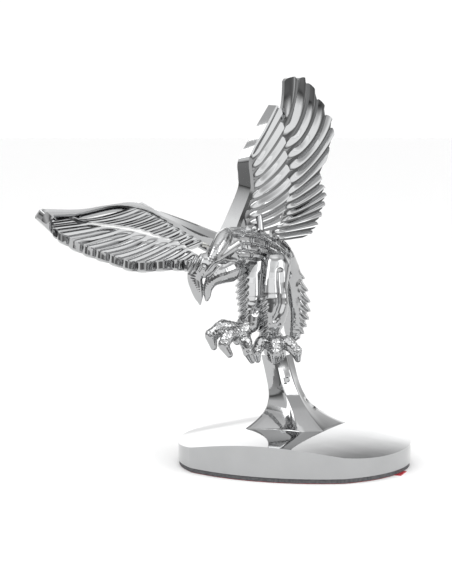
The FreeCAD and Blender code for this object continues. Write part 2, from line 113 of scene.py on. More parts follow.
class Soup:
    """Closed pieces gathered into one mesh."""

    def __init__(self):
        self.points = []
        self.faces = []
        self.count = 0

    def add(self, points, faces):
        points = np.asarray(points, float).reshape(-1, 3)
        self.faces += [[index + self.count for index in face] for face in faces]
        self.points.append(points)
        self.count += len(points)

    def add_tube(self, rings):
        """Closed solid through rings of the same number of points, with capped ends."""
        rings = np.asarray(rings, float)
        rows, columns = rings.shape[:2]
        faces = []
        for i in range(rows - 1):
            for j in range(columns):
                k = (j + 1) % columns
                low, high = i * columns, (i + 1) * columns
                faces.append([low + j, low + k, high + k, high + j])
        faces.append(list(range(columns))[::-1])
        faces.append([(rows - 1) * columns + j for j in range(columns)])
        self.add(rings.reshape(-1, 3), faces)

    def add_slab(self, front, back):
        """Closed slab between two grids of points of the same shape."""
        rows, columns = front.shape[:2]
        half = rows * columns
        faces = []
        for i in range(rows - 1):
            for j in range(columns - 1):
                a, b = i * columns + j, i * columns + j + 1
                c, d = a + columns, b + columns
                faces.append([a, b, d, c])
                faces.append([half + a, half + c, half + d, half + b])
        rim = [(0, j) for j in range(columns)]
        rim += [(i, columns - 1) for i in range(1, rows)]
        rim += [(rows - 1, j) for j in range(columns - 2, -1, -1)]
        rim += [(i, 0) for i in range(rows - 2, 0, -1)]
        ring = [i * columns + j for i, j in rim]
        for a, b in zip(ring, ring[1:] + ring[:1]):
            faces.append([b, a, half + a, half + b])
        self.add(np.concatenate([front.reshape(-1, 3), back.reshape(-1, 3)]), faces)

    def build(self, name, sharp=None):
        item = make_object(name, np.concatenate(self.points), self.faces, sharp)
        outward_normals(item)
        return item


def outward_normals(item):
    """Turns every face of a closed mesh to look outwards."""
    work = bmesh.new()
    work.from_mesh(item.data)
    bmesh.ops.recalc_face_normals(work, faces=work.faces)
    work.to_mesh(item.data)
    work.free()


# --------------------------------------------------------------------- sculpting

# A distance that counts as far away, and how far around a limb its distances are worked out.
FAR = 50.0
LIMB_MARGIN = 2.2
# Cells of the sculpted pieces. The limbs are plainer, so theirs are a little larger.
FINE_CELL = 0.2
THIGH_CELL = 0.22
TAIL_CELL = 0.24


class Clay:
    """A block of space that holds a distance field, built up from round forms and carved."""

    def __init__(self, low, high, cell):
        self.cell = cell
        self.low = np.asarray(low, float)
        axes = [np.arange(l, h + cell, cell) for l, h in zip(low, high)]
        grid = np.meshgrid(*axes, indexing="ij")
        self.places = np.stack(grid, axis=-1).astype(np.float32)
        self.field = np.full(grid[0].shape, FAR, np.float32)

    def merge(self, other, blend):
        """Adds a form, with a fillet where it meets what is there."""
        if blend <= 0:
            self.field = np.minimum(self.field, other)
            return
        near = np.maximum(blend - np.abs(self.field - other), 0) / blend
        self.field = np.minimum(self.field, other) - near * near * blend / 4

    def carve(self, other, blend):
        """Takes a form away, with its edges rounded off."""
        near = np.maximum(blend - np.abs(self.field + other), 0) / blend
        self.field = np.maximum(self.field, -other) + near * near * blend / 4

    def bone(self, start, end, start_radius, end_radius, flat=None, places=None):
        """Distance to a rod whose radius changes evenly; flat=(axis, scale) squeezes it."""
        start, end = np.asarray(start, np.float32), np.asarray(end, np.float32)
        places = self.places if places is None else places
        if flat is not None:
            axis, scale = unit(flat[0]).astype(np.float32), flat[1]
            middle = (start + end) / 2
            off = (places - middle) @ axis
            places = places + (off * (1 / scale - 1))[..., None] * axis
            start = start + axis * np.dot(start - middle, axis) * (1 / scale - 1)
            end = end + axis * np.dot(end - middle, axis) * (1 / scale - 1)
        run = end - start
        share = np.clip(((places - start) @ run) / max(float(run @ run), 1e-9), 0, 1)
        gap = places - start - share[..., None] * run
        return np.sqrt((gap * gap).sum(-1)) - (start_radius + (end_radius - start_radius) * share)

    def chain(self, stations, blend=0.6, flat=None):
        """Adds a smooth limb through (centre, radius) stations."""
        curve = Spline([(*centre, radius) for centre, radius in stations])
        rows = curve(np.linspace(0, 1, 4 * curve.spans + 1))
        tube = np.full_like(self.field, FAR)
        top = np.array(self.field.shape)
        for start, end in zip(rows, rows[1:]):
            reach = max(start[3], end[3]) + LIMB_MARGIN
            low = (np.minimum(start, end)[:3] - reach - self.low) / self.cell
            high = (np.maximum(start, end)[:3] + reach - self.low) / self.cell
            low, high = np.clip(low, 0, top).astype(int), np.clip(high, 0, top).astype(int)
            block = tuple(slice(l, h) for l, h in zip(low, high))
            rod = self.bone(start[:3], end[:3], start[3], end[3], flat, self.places[block])
            tube[block] = np.minimum(tube[block], rod)
        self.merge(tube, blend)

    def path(self, spots):
        """Distance to straight rods joined end to end through (centre, radius) spots."""
        pairs = zip(spots, spots[1:])
        rods = [self.bone(start, end, first, last) for (start, first), (end, last) in pairs]
        return np.minimum.reduce(rods)

    def ball(self, centre, radii, axes=None):
        """Rough distance to an ellipsoid whose axes are the rows of axes."""
        off = self.places - np.asarray(centre, np.float32)
        if axes is not None:
            off = off @ np.asarray(axes, np.float32).T
        scaled = off / np.asarray(radii, np.float32)
        reach = np.sqrt((scaled * scaled).sum(-1))
        return (reach - 1) * min(radii)

    def surface(self):
        """Surface nets: one point in each cell that the surface crosses."""
        field = self.field
        cells = tuple(n - 1 for n in field.shape)
        total = np.zeros(cells + (3,), np.float32)
        hits = np.zeros(cells, np.float32)
        quads = []
        index = np.full(cells, -1, np.int64)
        crossings = []
        for axis in range(3):
            one, two = [k for k in range(3) if k != axis]
            low = [slice(None)] * 3
            high = [slice(None)] * 3
            low[axis], high[axis] = slice(0, -1), slice(1, None)
            a, b = field[tuple(low)], field[tuple(high)]
            change = (a < 0) != (b < 0)
            share = np.where(change, a / np.where(change, a - b, 1), 0)
            crossings.append((axis, one, two, change, a < 0))
            for shift_one in (0, 1):
                for shift_two in (0, 1):
                    pick = [slice(None)] * 3
                    pick[one] = slice(shift_one, shift_one + cells[one])
                    pick[two] = slice(shift_two, shift_two + cells[two])
                    hit, part = change[tuple(pick)], share[tuple(pick)]
                    hits += hit
                    total[..., axis] += part * hit
                    total[..., one] += shift_one * hit
                    total[..., two] += shift_two * hit
        used = hits > 0
        index[used] = np.arange(used.sum())
        corner = np.argwhere(used)
        points = (corner + total[used] / hits[used][:, None]) * self.cell + self.low
        for axis, one, two, change, inside in crossings:
            spots = np.argwhere(change)
            keep = (spots[:, one] > 0) & (spots[:, two] > 0)
            keep &= (spots[:, one] < cells[one]) & (spots[:, two] < cells[two])
            spots = spots[keep]
            flip = inside[tuple(spots.T)] != (axis == 1)
            corners = []
            for shift_one, shift_two in ((0, 0), (1, 0), (1, 1), (0, 1)):
                cell = spots.copy()
                cell[:, one] -= shift_one
                cell[:, two] -= shift_two
                corners.append(index[tuple(cell.T)])
            quad = np.stack(corners, axis=1)
            quad[flip] = quad[flip][:, ::-1]
            quads.append(quad)
        return self.settle(points), np.concatenate(quads)

    def sample(self, grid, points):
        """Trilinear values of a grid at points."""
        place = (points - self.low) / self.cell
        place = np.clip(place, 0, np.array(grid.shape[:3]) - 1.001)
        base = place.astype(int)
        part = place - base
        value = 0
        for dx in (0, 1):
            for dy in (0, 1):
                for dz in (0, 1):
                    shares = np.abs(1 - vec(dx, dy, dz) - part)
                    weight = shares[:, 0] * shares[:, 1] * shares[:, 2]
                    got = grid[base[:, 0] + dx, base[:, 1] + dy, base[:, 2] + dz]
                    value = value + (weight[:, None] * got if got.ndim > 1 else weight * got)
        return value

    def settle(self, points):
        """Pulls the points onto the surface, which evens out the steps of the cells."""
        slope = np.stack(np.gradient(self.field, self.cell), axis=-1)
        for _ in range(2):
            value = self.sample(self.field, points)
            lean = self.sample(slope, points)
            size = (lean * lean).sum(-1)
            move = np.clip(value / np.maximum(size, 0.05), -self.cell / 2, self.cell / 2)
            points = points - move[:, None] * lean
        return points

    def build(self, name):
        points, quads = self.surface()
        return make_object(name, points, quads)


# ----------------------------------------------------------------------- wings

class WingPlane:
    """Places (chord, span, height) of a wing in the row frame; height is towards the front."""

    def __init__(self, root, chord_axis, span_axis):
        self.root = np.asarray(root, float)
        self.chord = unit(chord_axis)
        self.span = unit(span_axis)
        normal = np.cross(self.chord, self.span)
        self.normal = normal if normal[1] < 0 else -normal

    def __call__(self, flat):
        flat = np.asarray(flat, float)
        return (
            self.root
            + flat[..., 0:1] * self.chord
            + flat[..., 1:2] * self.span
            + flat[..., 2:3] * self.normal
        )


# Edges that turn by more than this many degrees are shaded sharp on slabs and on the stem.
SHARP_ANGLE = 24

# Where the points stand across one feather, and their height as a share of its step: a
# recessed strip, a steep riser, then a wide face that falls away to the next feather.
ACROSS = np.array([0.0, 0.17, 0.33, 0.36, 0.4, 0.48, 0.6, 0.74, 0.88])
PROFILE = np.array([0.0, 0.02, 0.0, 0.5, 1.0, 0.95, 0.76, 0.5, 0.22])


def feather_sheet(starts, middles, tips, feathers, front, back, step, notch, lip=None, rows=18):
    """Front and back grids of one tier of feathers.

    starts, middles and tips are curves over the tier, front and back are heights, step is
    the drop from one feather to the next, notch is how much each tip is rounded, and lip is
    how far a thick end face reaches below the tip.
    """
    across = len(ACROSS)
    local = np.append(np.tile(ACROSS, feathers), 1.0)
    tier = np.append((np.arange(feathers)[:, None] + ACROSS).ravel(), feathers) / feathers
    profile = np.append(np.tile(PROFILE, feathers), 0.0)
    if callable(step):
        profile, step = profile * step(tier) / step(0.0), step(0.0)
    first, last = starts(tier), tips(tier)
    control = 2 * middles(tier) - (first + last) / 2
    length = np.linalg.norm(last - first, axis=1)
    edge = (2 * local - 1) ** 2
    trim = 1 - notch * (1 - np.sqrt(1 - edge * 0.98)) / length
    grids = []
    for height, drop in ((front, step), (back, -0.4 * step)):
        grid = []
        for share in np.linspace(-0.12, 1.0, rows):
            s = (share * trim)[:, None]
            point = (1 - s) ** 2 * first + 2 * s * (1 - s) * control + s * s * last
            grow = smooth_step(-0.1, 0.2, share)
            point[:, 2] += height + drop * profile * grow
            grid.append(point)
        if lip is not None:
            for share in (0.12, 0.5, 0.88, 1.0):
                point = grid[rows - 1] + lip * share
                if drop > 0:
                    level = height + 0.7 * step + lip[2] * share - 1.7 * edge
                    point[:, 2] = level - (0.5 if share == 1.0 else 0.0)
                grid.append(point)
        grids.append(np.array(grid))
    return grids


def bowed(depth, chord_reach):
    """Hollow of the front face, deepest at half the chord."""
    def at(points):
        share = np.clip(points[..., 0] / chord_reach, 0, 1.2)
        out = points.copy()
        out[..., 2] -= depth * 4 * share * (1 - share)
        return out
    return at


def leading_rim(soup, place, inner, outer, section, ends=(), steps=32):
    """Smooth leading edge through sections of (share from inner to outer, height) points.

    ends gives further sections as (inner, outer, height) past the tip.
    """
    stations = [(inner(share), outer(share), 0.0) for share in np.linspace(0, 1, steps + 1)]
    stations += [(vec(*low, 0), vec(*high, 0), height) for low, high, height in ends]
    rings = [
        [lerp(low, high, part) + vec(0, 0, level + height) for part, level in section]
        for low, high, height in stations
    ]
    soup.add_tube(place(np.array(rings)))


def flat_curve(*points):
    """Curve through (chord, span) points in the plane of a wing."""
    return Spline([(chord, span, 0.0) for chord, span in points])


def left_wing():
    """Raised wing: long primaries at its tip, shorter feathers near the body."""
    plane = WingPlane((-22.73, -8.5, 66.98), (1, 1, 0), (0, 0, 1))
    hollow = bowed(1.2, 39.0)

    def place(points):
        return plane(hollow(points))

    flights = feather_sheet(
        flat_curve(
            (21.2, -3.5), (21.2, 0), (24.6, 3.6), (24.8, 7.3), (25.4, 12.1), (25.6, 19.5), (24, 25.3),
            (22, 32.2),
        ),
        flat_curve(
            (26, -3), (28, 1), (31, 5.9), (30.9, 10.3), (32.8, 18.4), (32.8, 25.8), (29.7, 34),
            (23.2, 38.4),
        ),
        flat_curve(
            (30.4, -2.5), (33.3, -0.3), (34.5, 2.4), (35.7, 5.5), (36.5, 8.6), (36.5, 11.3), (35.5, 13.7),
            (35.2, 16.9), (38.3, 25.1), (38.7, 30.9), (36.7, 34.6), (33.9, 39.3), (30.4, 43.8),
            (27.8, 44.9), (23.4, 44.6),
        ),
        feathers=14, front=0.1, back=-1.5, step=lambda share: 0.85 + 0.75 * share, notch=1.3,
    )
    coverts = feather_sheet(
        flat_curve((13.4, -0.9), (12.4, 5.3), (13.8, 14.2), (12.4, 22)),
        flat_curve((17.4, -0.3), (19.6, 8), (19.2, 18.6), (16.8, 28.6)),
        flat_curve((20.8, 0.2), (24.8, 11.7), (23.5, 23.8), (21.8, 36.6)),
        feathers=9, front=0.7, back=-0.9, step=0.95, notch=0.9,
    )
    soup = Soup()
    soup.add_slab(*map(place, flights))
    soup.add_slab(*map(place, coverts))
    leading_rim(
        soup, place,
        flat_curve((6.5, -3.5), (9, 3), (12.4, 11.1), (12.6, 14.4), (12.2, 22), (16.8, 29.6), (20.6, 36.4)),
        flat_curve((1.6, -2), (4.8, 3.8), (8.8, 12.2), (9, 16), (9, 20.6), (13, 27.4), (19, 36.6)),
        [(-0.1, 0.2), (0.0, 1.9), (0.26, 1.6), (1.0, -1.3), (0.75, -2.1), (-0.5, -2.0), (-0.6, 0.1)],
    )
    return soup.build("left_wing_plumage", SHARP_ANGLE)


def right_wing():
    """Level wing, leading edge up, with thick rounded feather ends."""
    plane = WingPlane((-24.36, -9.11, 64.66), (0.093, -0.329, -0.94), (-0.962, -0.273, 0.0))
    hollow = bowed(1.0, 20.0)
    lip = vec(2.5, 0, -0.9)

    def place(points):
        return plane(hollow(points))

    flights = feather_sheet(
        flat_curve((5, 2), (3.1, 5.8), (1.4, 10.2), (-0.2, 17.1), (-2.3, 24.6), (-4.3, 34.7), (-6.6, 40)),
        flat_curve((5.8, 3.1), (4.6, 8), (4.1, 15.5), (2.3, 22.9), (-0.4, 30.7), (-3.6, 39.8), (-6, 43)),
        flat_curve((6.4, 4.4), (6, 10.7), (6.5, 21.1), (3.9, 29.5), (1.2, 37.3), (-2.9, 44.7), (-5.6, 45.6)),
        feathers=12, front=0.3, back=-1.3, step=lambda share: 0.6 + 0.35 * share, notch=0.8, lip=lip,
    )
    coverts = feather_sheet(
        flat_curve((1, 0.6), (-1.2, 5.3), (-3.5, 9.3), (-6, 12.6), (-8.1, 16.6), (-10.1, 21.6)),
        flat_curve((1.9, 2.8), (-0.3, 7), (-2.2, 11.9), (-4.4, 16.2), (-5.6, 22), (-6.8, 31.1)),
        flat_curve((2.7, 4.9), (0.6, 8.9), (-1.2, 14.7), (-3.1, 20.2), (-4.3, 28), (-5.7, 40.9)),
        feathers=10, front=0.7, back=-1.0, step=0.7, notch=0.6,
    )
    soup = Soup()
    soup.add_slab(*map(place, flights))
    soup.add_slab(*map(place, coverts))
    leading_rim(
        soup, place,
        flat_curve((2.4, -3), (-1.6, 5.4), (-6, 13.4), (-9, 20.2), (-9.3, 27.5), (-7.3, 37.6), (-7, 46)),
        flat_curve((-2.2, -3), (-6, 6.7), (-9.5, 16.6), (-11.3, 22), (-10.1, 30.4), (-9, 37.6), (-9.1, 48.7)),
        [
            (-0.3, -0.2), (0.0, 0.9), (0.4, 1.6), (0.85, 1.1), (1.0, 0.3), (1.0, -0.8), (0.6, -1.5),
            (-0.5, -1.5),
        ],
        [
            ((-6.2, 46.6), (-8.7, 49.6), 0.0),
            ((-4.2, 47.2), (-7.3, 50.7), -0.6),
            ((-3.4, 47.3), (-6.6, 51.0), -1.2),
        ],
    )
    return soup.build("right_wing_plumage", SHARP_ANGLE)


# ------------------------------------------------------------------- the figure

ACROSS_VIEW = vec(math.cos(VIEW_AZIMUTH), math.sin(VIEW_AZIMUTH), 0)
TOWARD_VIEW = vec(math.sin(VIEW_AZIMUTH), -math.cos(VIEW_AZIMUTH), 0)

# Limbs are lists of (centre, radius) stations.
NECK = [
    ((-12.5, -5.0, 62.0), 5.4),
    ((-14.5, -10.0, 62.3), 5.6),
    ((-16.8, -16.0, 62.0), 4.0),
    ((-17.4, -20.3, 60.2), 3.0),
]
TORSO = [
    ((-19.0, -9.0, 65.0), 2.3),
    ((-17.0, -7.3, 63.9), 4.6),
    ((-14.5, -3.6, 62.1), 5.8),
    ((-11.3, -0.1, 60.7), 5.8),
    ((-8.3, 2.2, 60.0), 5.0),
    ((-6.2, 3.5, 59.7), 3.2),
    ((-5.0, 4.3, 59.5), 1.6),
]


# Short feathers: the height of a row, the width of a feather, how fast the rows sink beyond
# the arch's start, how far a feather stands out and how far the gaps between lie below.
PLUME_ROW = 2.15
PLUME_WIDTH = 4.4
PLUME_ARCH = 0.034
PLUME_ARCH_START = -16.5
PLUME_DEPTH = 1.0
PLUME_GAP = 0.3


def plume(clay):
    """Short overlapping feathers in rows that follow the arch of the back."""
    along, height = clay.places @ ACROSS_VIEW, clay.places[..., 2]
    arched = height + PLUME_ARCH * np.maximum(along - PLUME_ARCH_START, 0) ** 2
    row = arched / PLUME_ROW
    tile = along / PLUME_WIDTH + 0.5 * np.mod(np.floor(row), 2)
    slope = row - np.floor(row)
    seam = np.abs(tile - np.round(tile)) * PLUME_WIDTH
    tilt = smooth_step(0.0, 0.3, slope) * (1 - 0.5 * slope) * smooth_step(1.0, 0.82, slope)
    relief = PLUME_DEPTH * tilt * smooth_step(0.0, 0.6, seam) - PLUME_GAP
    # Feathers start behind the bowed head and above the belly.
    behind_head = smooth_step(0.0, 1.0, along + 19.9 - 0.5 * (66.0 - height))
    above_belly = smooth_step(56.0, 57.5, arched)
    clay.field = clay.field - relief * (behind_head * above_belly)


def torso():
    """Breast and back, with the shoulder that carries the raised wing."""
    clay = Clay((-25, -14, 48), (5, 13, 74), FINE_CELL)
    clay.chain(TORSO, 2.0)
    plume(clay)
    shoulder = [((-11.2, 0.8, 63.5), 2.0), ((-11.8, 1.7, 67.0), 1.2), ((-12.4, 2.4, 71.0), 0.95)]
    clay.chain(shoulder, 1.0)
    return clay.build("torso_plumage")


# Waves on the nape, the thighs' barbs, the tail's barbs and the scales of the feet.
RUFF_PITCH, RUFF_DEPTH = 1.3, 0.3
BARB_PITCH, BARB_DEPTH = 1.9, 0.32
TAIL_PITCH, TAIL_DEPTH = 2.8, 0.5
SCALE_PITCH, SCALE_DEPTH = 1.5, 0.12


def head():
    """Bowed head in its own frame: forward is down the beak, top is towards the crown."""
    origin = vec(-18.0, -21.7, 59.5)
    forward = vec(0.0, 0.0, -1.0)
    top = vec(-0.937, -0.35, 0.0)
    side = vec(0.35, -0.937, 0.0)

    axes = [forward, top, side]

    def at(f, t, s):
        return origin + forward * f + top * t + side * s

    def mirrored(rows, flip):
        """Stations on one side of the head, from (forward, top, middle, out, radius) rows."""
        return [(at(f, t, s + flip * out), radius) for f, t, s, out, radius in rows]

    clay = Clay((-27.5, -29, 45), (-6, -2, 72), FINE_CELL)
    clay.chain(NECK, 1.5)
    plume(clay)
    skull = clay.ball(at(0.8, 1.6, 0), (3.4, 3.2, 3.2), axes)
    clay.merge(skull, 1.2)
    upper_beak = [
        (at(-0.2, 4.4, 0), 1.7), (at(1.5, 4.0, 0), 2.6), (at(4.4, 4.8, 0), 2.2), (at(7.0, 4.4, 0), 1.85),
        (at(9.4, 3.9, 0), 1.35), (at(11.2, 3.5, 0), 0.6), (at(12.0, 3.4, 0), 0.3),
    ]
    lower_beak = [
        (at(2.6, -4.6, -2.4), 3.5), (at(3.4, -2.6, -0.8), 2.9), (at(5.0, -0.2, 0), 2.0),
        (at(7.4, 1.1, 0), 1.35), (at(9.6, 1.3, 0), 0.95), (at(10.7, 1.5, 0), 0.55),
    ]
    clay.chain(upper_beak, 0.8, flat=(side, 0.85))
    clay.chain(lower_beak, 0.5)
    crown = [
        (-7.4, -4.0, -6.2, 0.6, 1.9), (-6.0, -3.1, -5.0, 2.0, 2.4), (-3.8, -1.7, -2.6, 2.2, 2.2),
        (-1.6, -0.5, -0.8, 2.0, 1.8), (0.6, 0.6, 0.0, 2.2, 1.0),
    ]
    cheek = [
        (-4.6, -6.7, -9.0, 4.2, 2.1), (-2.8, -3.7, -5.8, 4.0, 1.9), (-0.8, -0.9, -1.9, 3.2, 1.6),
        (1.8, 1.1, 0.0, 2.2, 1.1), (4.0, 2.2, 0.0, 1.9, 0.5),
    ]
    groove = [
        (0.2, -6.9, -9.2, 6.2, 0.7), (-0.8, -4.1, -6.2, 5.6, 0.7), (0.6, -1.0, -1.0, 4.0, 0.6),
        (2.8, 1.0, 0.0, 3.2, 0.4),
    ]
    for flip in (1, -1):
        for lobe in (crown, cheek):
            clay.chain(mirrored(lobe, flip), 0.25)
        socket = clay.ball(at(1.2, 2.3, 3.7 * flip), (1.0, 0.9, 0.8), axes)
        clay.carve(socket, 0.3)
        eye = clay.ball(at(1.2, 2.3, 3.0 * flip), (0.65, 0.65, 0.6), axes)
        clay.merge(eye, 0.0)
        gape = clay.bone(at(3.6, 2.6, 2.4 * flip), at(9.4, 2.5, 1.4 * flip), 0.4, 0.3)
        clay.carve(gape, 0.2)
        clay.carve(clay.path(mirrored(groove, flip)), 0.5)
    off = clay.places - origin
    down, across = off @ forward, off @ top
    ruff = smooth_step(2.4, 3.4, across) * smooth_step(3.0, 2.0, down)
    wave = np.sin((across - 0.5 * down) * 2 * math.pi / RUFF_PITCH)
    clay.field = clay.field - RUFF_DEPTH * wave * ruff
    return clay.build("head_sculpt")


def thigh(name, stations, box, high, low, reach, furrow):
    """Leg: smooth muscle with a furrow, and slanting barbs on its outer side.

    The barbs grow from none at height high to full at height low, and they begin at reach,
    measured sideways from the middle of the third station.
    """
    clay = Clay(*box, THIGH_CELL)
    clay.chain(stations, 1.5)
    off = clay.places - np.asarray(stations[2][0], np.float32)
    across, height = off @ ACROSS_VIEW, clay.places[..., 2]
    wave = np.sin((height - 0.84 * across) * 2 * math.pi / BARB_PITCH)
    barbed = smooth_step(reach, reach - 1.2, across) * smooth_step(high, low, height)
    clay.field = clay.field - BARB_DEPTH * wave * barbed
    heights = [centre[2] for centre, radius in stations][::-1]
    rows = np.array([(*centre, radius) for centre, radius in stations])[::-1]
    spots = []
    for aside, level, radius in furrow:
        x, y, z, girth = (np.interp(level, heights, column) for column in rows.T)
        out = math.sqrt(max(girth * girth - aside * aside, 0.0)) + 0.2
        spots.append((vec(x, y, z) + ACROSS_VIEW * aside + TOWARD_VIEW * out, radius))
    clay.carve(clay.path(spots), 1.4)
    return clay.build(name)


RIGHT_THIGH = [
    ((-11.4, -4.8, 57.0), 4.6),
    ((-11.0, -7.7, 51.0), 4.6),
    ((-10.4, -9.8, 46.0), 3.9),
    ((-10.4, -11.4, 41.0), 2.8),
]
LEFT_THIGH = [
    ((-5.2, -4.5, 57.0), 4.6),
    ((-4.9, -7.5, 51.0), 4.4),
    ((-4.7, -8.0, 45.0), 4.7),
    ((-5.9, -7.7, 38.5), 3.0),
]
# Where the furrow runs: distance from the middle of the leg, height and radius.
LEFT_FURROW = [
    (1.6, 56.0, 0.5), (2.2, 53.0, 0.9), (2.8, 50.0, 1.0), (2.8, 47.0, 1.0), (2.0, 44.5, 0.9),
    (1.0, 42.5, 0.5),
]
RIGHT_FURROW = [(2.2, 55.0, 0.4), (3.0, 52.0, 0.8), (3.2, 49.0, 0.8), (2.4, 46.0, 0.7), (1.4, 44.5, 0.4)]
TAIL = [
    ((-5.6, 4.2, 59.0), 3.4),
    ((-5.6, 8.6, 55.0), 3.5),
    ((-4.8, 10.8, 49.0), 4.0),
    ((-4.2, 11.8, 43.0), 4.1),
    ((-4.6, 11.6, 37.0), 2.9),
    ((-5.0, 11.0, 34.2), 1.3),
]


def tail():
    """Hanging tail, slightly flattened, with slanting barbs along one side."""
    clay = Clay((-12, -2, 31), (5, 19, 65), TAIL_CELL)
    clay.chain(TAIL, 1.5, flat=(vec(0.35, -0.937, 0.0), 0.8))
    off = clay.places - np.array(TAIL[3][0], np.float32)
    across = off @ ACROSS_VIEW
    wave = np.sin((off[..., 2] + 0.9 * across) * 2 * math.pi / TAIL_PITCH)
    edge = smooth_step(0.6, 2.4, across)
    clay.field = clay.field - TAIL_DEPTH * wave * edge
    return clay.build("tail_plumage")


PALMS = {
    "left": [
        ((-5.6, -1.5, 30.6), 2.6), ((-5.4, -3.6, 33.0), 3.4),
        ((-5.2, -5.6, 35.8), 3.0), ((-5.0, -7.0, 38.2), 2.2),
    ],
    "right": [
        ((-11.6, -11.6, 41.6), 2.2), ((-11.8, -12.8, 39.6), 2.8),
        ((-12.4, -14.4, 37.8), 2.4), ((-12.8, -15.2, 36.4), 1.2),
    ],
}
# Each toe starts inside the palm. Its last two stations are the talon.
TOES = {
    "left": [
        [
            ((-5.0, -6.5, 35.0), 2.0), ((-7.4, -9.4, 35.4), 1.9),
            ((-8.6, -11.0, 32.8), 1.5), ((-8.2, -10.6, 30.6), 0.9),
        ],
        [
            ((-5.0, -6.5, 35.0), 2.0), ((-2.6, -10.6, 35.4), 1.9),
            ((-2.2, -12.2, 32.8), 1.5), ((-2.6, -11.6, 30.4), 0.9),
        ],
        [
            ((-5.0, -6.5, 35.0), 2.0), ((-0.2, -7.8, 35.4), 2.0),
            ((2.6, -7.8, 33.0), 1.6), ((2.9, -7.2, 30.8), 0.9),
        ],
        [
            ((-5.0, -6.5, 35.0), 2.0), ((-5.6, -0.5, 35.6), 1.6),
            ((-5.8, 2.8, 33.2), 1.1), ((-5.6, 3.6, 30.6), 0.7),
        ],
    ],
    "right": [
        [
            ((-12.0, -13.5, 39.0), 2.0), ((-16.4, -16.8, 40.4), 2.1),
            ((-19.4, -18.6, 38.0), 1.8), ((-18.8, -18.2, 34.8), 1.0),
        ],
        [
            ((-12.0, -13.5, 39.0), 2.0), ((-14.0, -18.4, 38.4), 2.0),
            ((-14.8, -20.8, 35.8), 1.5), ((-13.2, -20.4, 33.2), 1.0),
        ],
        [
            ((-12.0, -13.5, 39.0), 2.0), ((-9.8, -16.2, 36.2), 1.8),
            ((-9.0, -16.4, 33.4), 1.4), ((-8.2, -15.4, 31.0), 0.9),
        ],
    ],
}


def foot(which):
    """Palm and knuckled toes covered in small scales, and blunt smooth talons."""
    spots = [centre for chain in TOES[which] + [PALMS[which]] for centre, radius in chain]
    low, high = np.min(spots, axis=0) - 3.5, np.max(spots, axis=0) + 4.5
    clay = Clay(low, high, FINE_CELL)
    clay.chain(PALMS[which], 1.2)
    for toe in TOES[which]:
        clay.chain(toe[:3], 0.5)
        for (start, first), (end, last) in zip(toe[:2], toe[1:3]):
            for share in (0.5, 1.0):
                centre = lerp(vec(*start), vec(*end), share)
                clay.merge(clay.ball(centre + vec(0, 0, 0.3), (0.5 + last * 0.75,) * 3), 0.15)
    x, y, z = np.moveaxis(np.sin(clay.places * (2 * math.pi / SCALE_PITCH)), -1, 0)
    clay.field = clay.field - SCALE_DEPTH * x * y * z
    for toe in TOES[which]:
        clay.chain(toe[2:], 0.1)
    return clay.build(which + "_foot_sculpt")


# --------------------------------------------------------------------- pedestal

STEM_TOP = 31.0
STEM_TURN = math.radians(40.0)
# How far the top stands off the foot, how far the foot sinks into the dome, where a ray
# starts, and the height that stands in for the dome beyond its edge.
STEM_LEAN = 6.0
STEM_SINK = 0.15
RAY_START = 100.0
EDGE_HEIGHT = 9.0


def pedestal():
    """Six-sided stem that leans at its top and flares out over the dome."""
    shell = frame["nodes"]["base_shell"].data
    spots = [spot.co for spot in shell.vertices]
    dome = BVHTree.FromPolygons(spots, [face.vertices for face in shell.polygons])
    wide = vec(math.cos(STEM_TURN), math.sin(STEM_TURN), 0)
    deep = vec(math.sin(STEM_TURN), -math.cos(STEM_TURN), 0)
    rings = []
    for down in np.append(np.linspace(0, 0.96, 44), [0.98, 0.995, 1.0]):
        # Half the width, half the depth and half of the narrow face, each at its least on top.
        width = 4.9 + 11.3 * down ** 5
        depth = 3.2 + 9.8 * down ** 2.5
        flat = 1.8 + 1.6 * down ** 3
        corners = [
            (-width, 0), (-flat, depth), (flat, depth), (width, 0), (flat, -depth), (-flat, -depth),
        ]
        ring = []
        for (x0, y0), (x1, y1) in zip(corners, corners[1:] + corners[:1]):
            for part in (0.04, 0.2, 0.4, 0.6, 0.8, 0.96):
                ring.append(wide * lerp(x0, x1, part) + deep * lerp(y0, y1, part))
        for point in ring:
            point[0] -= STEM_LEAN * (1 - down) ** 0.8
            above = Vector((point[0] * MM, point[1] * MM, RAY_START * MM))
            hit = dome.ray_cast(above, Vector((0, 0, -1)))[0]
            ground = hit.z / MM if hit else EDGE_HEIGHT
            point[2] = lerp(STEM_TOP, ground, down) - (STEM_SINK if down == 1.0 else 0.0)
        rings.append(ring)
    soup = Soup()
    soup.add_tube(rings)
    return soup.build("pedestal_stem", SHARP_ANGLE)


# -------------------------------------------------------------------- materials

def shader_tree(name):
    """A new material, its node tree and its shader."""
    material = bpy.data.materials.new(name)
    material.use_nodes = True
    tree = material.node_tree
    return material, tree, tree.nodes["Principled BSDF"]


def node(tree, kind, **settings):
    item = tree.nodes.new(kind)
    for key, value in settings.items():
        if key in item.inputs:
            item.inputs[key].default_value = value
        else:
            setattr(item, key, value)
    return item


def noise(tree, scale, detail=3.0):
    """Noise in object space; scale is in cells per millimetre."""
    spots = node(tree, "ShaderNodeTexCoord")
    cloud = node(tree, "ShaderNodeTexNoise")
    cloud.inputs["Scale"].default_value = scale / MM
    cloud.inputs["Detail"].default_value = detail
    tree.links.new(spots.outputs["Object"], cloud.inputs["Vector"])
    return cloud.outputs["Fac"]


def ramp(tree, value, stops):
    """Colour ramp through (place, colour) stops."""
    item = node(tree, "ShaderNodeValToRGB")
    tree.links.new(value, item.inputs["Fac"])
    elements = item.color_ramp.elements
    while len(elements) < len(stops):
        elements.new(0.5)
    for element, (place, colour) in zip(elements, stops):
        element.position = place
        element.color = (*colour, 1)
    return item.outputs["Color"]


